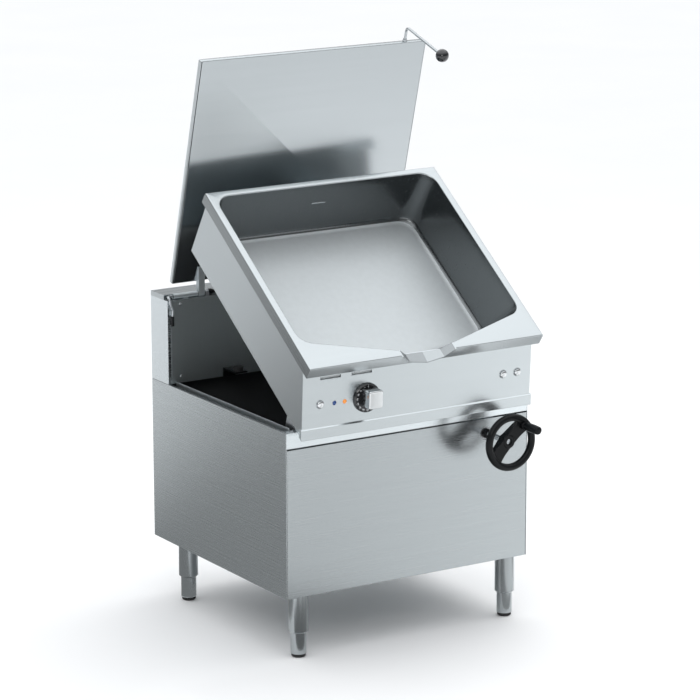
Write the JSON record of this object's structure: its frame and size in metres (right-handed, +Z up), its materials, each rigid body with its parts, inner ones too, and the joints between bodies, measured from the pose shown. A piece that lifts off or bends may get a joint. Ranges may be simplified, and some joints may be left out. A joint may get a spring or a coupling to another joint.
{
  "type": "tilting bratt pan",
  "caption": "Free-standing commercial tilting bratt pan: cabinet on legs with rear column, tilting pan with spout and controls, front handwheel drive, sprung lid with ball handle.",
  "frame": {"origin": "centre of the bounding box at floor level, in the pose shown: pan tilted, lid open", "axes": "+X to the user's right, +Y to the back, +Z up"},
  "size_m": [0.8, 0.942, 1.6504],
  "materials": {
    "stainless": "satin ground",
    "stainless_bright": "fine brushed",
    "stainless_mirror": "polished",
    "chrome": "polished",
    "zinc_steel": "zinc plated",
    "bronze": "machined",
    "element_metal": "heat darkened",
    "black_plastic": "semi-gloss",
    "matt_plastic": "matt",
    "rubber": "matt",
    "lens_blue": "gloss",
    "lens_orange": "gloss"
  },
  "bodies": {
    "cabinet": {"side_panel_left": "stainless", "side_panel_right": "stainless", "rear_panel": "stainless", "base_panel": "stainless", "front_panel": "stainless", "front_rail": "stainless", "gutters": "stainless", "column_shell": "stainless", "column_front_plate": "stainless_mirror", "column_cover": "stainless", "column_screws": "zinc_steel", "leg_tubes": "stainless", "foot_tubes": "stainless", "foot_pads": "matt_plastic", "pivot_bracket_left": "zinc_steel", "pivot_bracket_right": "zinc_steel", "bearing_bushes": "bronze", "lid_hinge_lugs": "stainless", "torsion_tubes": "stainless_bright", "torsion_bar": "stainless_bright", "torsion_sleeve": "matt_plastic", "drive_upright": "zinc_steel", "spindle_bearing": "zinc_steel", "spindle_boss": "black_plastic", "rear_bearing_bracket": "zinc_steel", "terminal_box": "zinc_steel", "cable_gland": "matt_plastic", "rest_brackets": "zinc_steel", "rest_buffers": "rubber"},
    "pan": {"pan_deck": "stainless", "pan_well": "stainless", "heat_plate": "zinc_steel", "heating_elements": "element_metal", "casing_floor": "stainless", "casing_left": "stainless", "casing_right": "stainless", "casing_rear": "stainless", "fascia": "stainless", "trunnions": "zinc_steel", "tilt_lever": "zinc_steel", "thermostat": "matt_plastic", "switch_bodies": "matt_plastic", "pilot_lamp_blue": "lens_blue", "pilot_lamp_orange": "lens_orange"},
    "knob": {"knob_dial": "black_plastic", "knob_grip": "chrome"},
    "left_button": {"button_left": "chrome"},
    "inner_button": {"button_inner": "chrome"},
    "outer_button": {"button_outer": "chrome"},
    "lid": {"lid_skin": "stainless", "lid_inner": "stainless_bright", "lid_hinge_arms": "stainless", "lid_hinge_shaft": "matt_plastic", "lid_handle": "chrome", "lid_ball": "black_plastic"},
    "wheel": {"handwheel": "black_plastic", "grip_axle": "zinc_steel", "tilt_spindle": "zinc_steel"},
    "wheel_grip": {"grip": "black_plastic"},
    "nut": {"tilt_nut": "bronze"}
  },
  "joints": [
    {"name": "pan_tilt", "type": "hinge", "parent": "cabinet", "child": "pan", "pos_m": [0, -0.271, 0.767], "axis": [1, 0, 0], "range_deg": [-35.25, 8.75]},
    {"name": "nut_slide", "type": "slide", "parent": "cabinet", "child": "nut", "axis": [0, 1, 0], "range_m": [-0.1963, 0.0488]},
    {"name": "handwheel_turn", "type": "hinge", "parent": "cabinet", "child": "wheel", "pos_m": [0.26, -0.397, 0.558], "axis": [0, 1, 0], "range_deg": [-3534, 878]},
    {"name": "grip_spin", "type": "hinge", "parent": "wheel", "child": "wheel_grip", "pos_m": [0.3046, -0.42, 0.60107], "axis": [0, 1, 0], "continuous": true},
    {"name": "knob_turn", "type": "hinge", "parent": "pan", "child": "knob", "pos_m": [-0.171, -0.32565, 0.73179], "axis": [0, 0.9984, 0.0567], "range_deg": [0, 270]},
    {"name": "left_button_press", "type": "slide", "parent": "pan", "child": "left_button", "axis": [0, 0.9984, 0.0567], "range_m": [0, 0.003], "stiffness_N_per_m": 500, "springref_m": -0.003},
    {"name": "inner_button_press", "type": "slide", "parent": "pan", "child": "inner_button", "axis": [0, 0.9984, 0.0567], "range_m": [0, 0.003], "stiffness_N_per_m": 500, "springref_m": -0.003},
    {"name": "outer_button_press", "type": "slide", "parent": "pan", "child": "outer_button", "axis": [0, 0.9984, 0.0567], "range_m": [0, 0.003], "stiffness_N_per_m": 500, "springref_m": -0.003},
    {"name": "lid_hinge", "type": "hinge", "parent": "cabinet", "child": "lid", "pos_m": [0, 0.384, 0.9062], "axis": [1, 0, 0], "range_deg": [-10, 10]}
  ],
  "couplings": [
    {"joint": "nut_slide", "follows": "pan_tilt", "m_per_rad": 0.31903},
    {"joint": "handwheel_turn", "follows": "pan_tilt", "ratio": 100.23}
  ]
}
